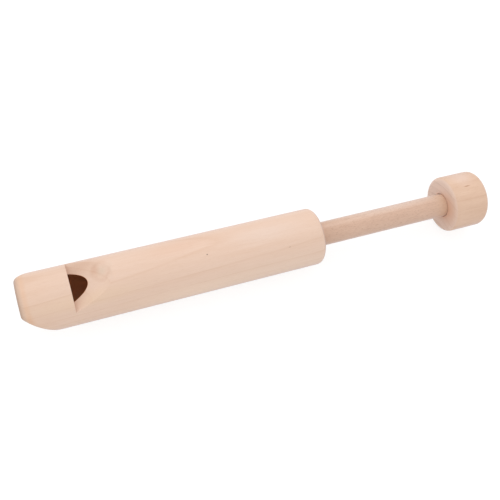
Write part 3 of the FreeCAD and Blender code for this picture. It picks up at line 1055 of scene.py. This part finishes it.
class WHISTLE_OT_press_felt(bpy.types.Operator):
    """Makes the packing's two felt rings, each with a loose nap"""

    bl_idname = "whistle.press_felt"
    bl_label = "Press the Felt"

    def execute(self, context):
        finish, sizes = context.scene.whistle_finish, context.scene.whistle_felt
        felt = wool_felt(finish.felt_pale, finish.felt_shade)
        tree = raise_nap()
        edge, nap = sizes.edge_round, sizes.nap
        for seed, node in enumerate(("felt_ring_front", "felt_ring_rear")):
            low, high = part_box(node)
            front, back = low.x + nap, high.x - nap
            outside, inside = high.z - nap, high.z - sizes.width + nap
            outline = [
                *quarter_round(front + edge, inside + edge, edge, 270, 180),
                *quarter_round(front + edge, outside - edge, edge, 180, 90),
                *quarter_round(back - edge, outside - edge, edge, 90, 0),
                *quarter_round(back - edge, inside + edge, edge, 0, -90),
            ]
            outline.append(outline[0])
            ring = turned(f"{node}_pressed", outline, felt, FELT_STEPS)
            values = {
                "Fibres per Square Metre": sizes.fibres_per_mm2 / MM ** 2,
                "Fibre Length": FIBRE_LENGTH_SHARE * nap,
                "Fibre Radius": FIBRE_RADIUS_SHARE * nap,
                "Seed": seed,
                "Material": felt,
            }
            stand_for(shape_with(tree, ring, f"{node}_wool", values), "packing", node)
        return {"FINISHED"}


class WHISTLE_OT_cut_screw(bpy.types.Operator):
    """Makes the piston's wood screw, with its thread and slot"""

    bl_idname = "whistle.cut_screw"
    bl_label = "Cut the Screw"

    def execute(self, context):
        finish, sizes = context.scene.whistle_finish, context.scene.whistle_screw
        zinc = zinc_plate(finish.zinc_light, finish.zinc_dark)
        front, tip, head_radius = SCREW_LOW.x, SCREW_HIGH.x, SCREW_HIGH.z
        dome = sizes.head_round
        seat = front + sizes.head_height
        core = sizes.shank_radius - sizes.thread_depth
        start = seat + sizes.plain_length + sizes.thread_depth

        # The point is as long as the shank is thick
        point = tip - 2 * sizes.shank_radius
        outline = [
            (front, 0.0),
            *quarter_round(front + dome, head_radius - dome, dome, 180, 90, DOME_STEPS),
            (seat, head_radius),
            (seat, sizes.shank_radius),
            (start - sizes.thread_depth, sizes.shank_radius),
            (start, core),
            (point, core),
            (tip, 0.0),
        ]
        blank = turned("screw_blank", outline, zinc, SCREW_STEPS)
        length = point - start

        # The slot's cutter is half out of the head, and longer than the head is wide
        values = {
            "Turns": length / sizes.thread_pitch,
            "Core Radius": core,
            "Thread Depth": sizes.thread_depth,
            "Length": length,
            "Start": (start, 0.0, 0.0),
            "Slot Size": (2 * sizes.slot_depth, 3 * head_radius, sizes.slot_width),
            "Slot Place": (front, 0.0, 0.0),
            "Material": zinc,
        }
        screw = shape_with(cut_thread(), blank, "wood_screw", values)
        stand_for(screw, "plunger", "piston_screw")
        return {"FINISHED"}


class WHISTLE_OT_stamp_washer(bpy.types.Operator):
    """Makes the plain washer under the screw's head"""

    bl_idname = "whistle.stamp_washer"
    bl_label = "Stamp the Washer"

    def execute(self, context):
        finish, sizes = context.scene.whistle_finish, context.scene.whistle_screw
        front, back, radius = WASHER_LOW.x, WASHER_HIGH.x, WASHER_HIGH.z
        hole, edge = sizes.shank_radius + sizes.washer_gap, sizes.washer_edge
        outline = [
            (front, hole),
            *quarter_round(front + edge, radius - edge, edge, 180, 90),
            *quarter_round(back - edge, radius - edge, edge, 90, 0),
            (back, hole),
            (front, hole),
        ]
        zinc = bpy.data.materials.get("steel, zinc plated")
        zinc = zinc or zinc_plate(finish.zinc_light, finish.zinc_dark)
        washer = turned("plain_washer", outline, zinc, WASHER_STEPS)
        stand_for(washer, "plunger", "piston_washer")
        return {"FINISHED"}


class WHISTLE_OT_set_stage(bpy.types.Operator):
    """Sets the pale floor, the soft lights and the camera"""

    bl_idname = "whistle.set_stage"
    bl_label = "Set the Stage"

    def execute(self, context):
        scene, sizes = context.scene, context.scene.whistle_stage
        mesh = bpy.data.meshes.new("studio_floor")
        half = FLOOR_HALF_WIDTH
        corners = ((-half, -half), (half, -half), (half, half), (-half, half))
        mesh.from_pydata([(x, y, FLOOR_HEIGHT) for x, y in corners], [], [(0, 1, 2, 3)])
        mesh.materials.append(studio_paper(sizes.floor_shade, sizes.floor_glow))
        floor = bpy.data.objects.new("studio_floor", mesh)
        scene.collection.objects.link(floor)

        data = bpy.data.cameras.new("camera")
        data.sensor_width = SENSOR_WIDTH_MM
        data.lens = sizes.lens
        camera = bpy.data.objects.new("camera", data)
        right, up, ahead = (Vector(axis) for axis in CAMERA_AXES)
        turn = Matrix((right, up, -ahead)).transposed().to_4x4()
        camera.matrix_world = Matrix.Translation(Vector(CAMERA_PLACE_MM) * MM) @ turn
        scene.collection.objects.link(camera)
        scene.camera = camera

        data = bpy.data.lights.new("key_lamp", "AREA")
        data.shape = "DISK"
        data.size = KEY_LAMP_WIDTH
        data.energy = sizes.key_power
        lamp = bpy.data.objects.new("key_lamp", data)
        lamp.location = KEY_LAMP_PLACE
        towards = Vector(LAMP_AIM) - lamp.location
        lamp.rotation_euler = towards.to_track_quat("-Z", "Y").to_euler()
        scene.collection.objects.link(lamp)

        world = bpy.data.worlds.new("studio air")
        tree = empty_tree(world)
        white = linear("#FFFFFF")
        air = add_node(
            tree, "ShaderNodeBackground", {"Color": white, "Strength": sizes.air_strength}
        )
        backdrop = add_node(tree, "ShaderNodeBackground", {"Color": white, "Strength": 1.0})
        shown = add_node(tree, "ShaderNodeMixShader", {0: seen_directly(tree), 1: air, 2: backdrop})
        add_node(tree, "ShaderNodeOutputWorld", {"Surface": shown})
        scene.world = world
        scene.view_settings.view_transform = "Standard"
        return {"FINISHED"}


# Each group of settings, by its name on the scene, and each step in the order it is made
SETTINGS = {
    "whistle_finish": WHISTLE_PG_finish,
    "whistle_window": WHISTLE_PG_window,
    "whistle_knob": WHISTLE_PG_knob,
    "whistle_felt": WHISTLE_PG_felt,
    "whistle_screw": WHISTLE_PG_screw,
    "whistle_stage": WHISTLE_PG_stage,
}
STEPS = (
    WHISTLE_OT_sand_barrel,
    WHISTLE_OT_saw_plugs,
    WHISTLE_OT_sand_rod,
    WHISTLE_OT_turn_knob,
    WHISTLE_OT_press_felt,
    WHISTLE_OT_cut_screw,
    WHISTLE_OT_stamp_washer,
    WHISTLE_OT_set_stage,
)


class WHISTLE_PT_workshop(bpy.types.Panel):
    """Lists the whistle's sizes and colours and the steps that make it"""

    bl_label = "Slide Whistle"
    bl_idname = "WHISTLE_PT_workshop"
    bl_space_type = "VIEW_3D"
    bl_region_type = "UI"
    bl_category = "Whistle"

    def draw(self, context):
        for name, group in SETTINGS.items():
            box = self.layout.box()
            for setting in group.__annotations__:
                box.prop(getattr(context.scene, name), setting)
        for step in STEPS:
            self.layout.operator(step.bl_idname)


CLASSES = (*SETTINGS.values(), *STEPS, WHISTLE_PT_workshop)


def register():
    """Registers the workshop's classes and hangs its settings on the scene."""
    for each in CLASSES:
        bpy.utils.register_class(each)
    for name, group in SETTINGS.items():
        setattr(bpy.types.Scene, name, bpy.props.PointerProperty(type=group))


def unregister():
    """Removes what register added."""
    for name in SETTINGS:
        delattr(bpy.types.Scene, name)
    for each in reversed(CLASSES):
        bpy.utils.unregister_class(each)


def main():
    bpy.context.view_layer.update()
    register()
    bpy.ops.whistle.sand_barrel()
    bpy.ops.whistle.saw_plugs()
    bpy.ops.whistle.sand_rod()
    bpy.ops.whistle.turn_knob()
    bpy.ops.whistle.press_felt()
    bpy.ops.whistle.cut_screw()
    bpy.ops.whistle.stamp_washer()
    bpy.ops.whistle.set_stage()


if __name__ == "__main__":
    main()
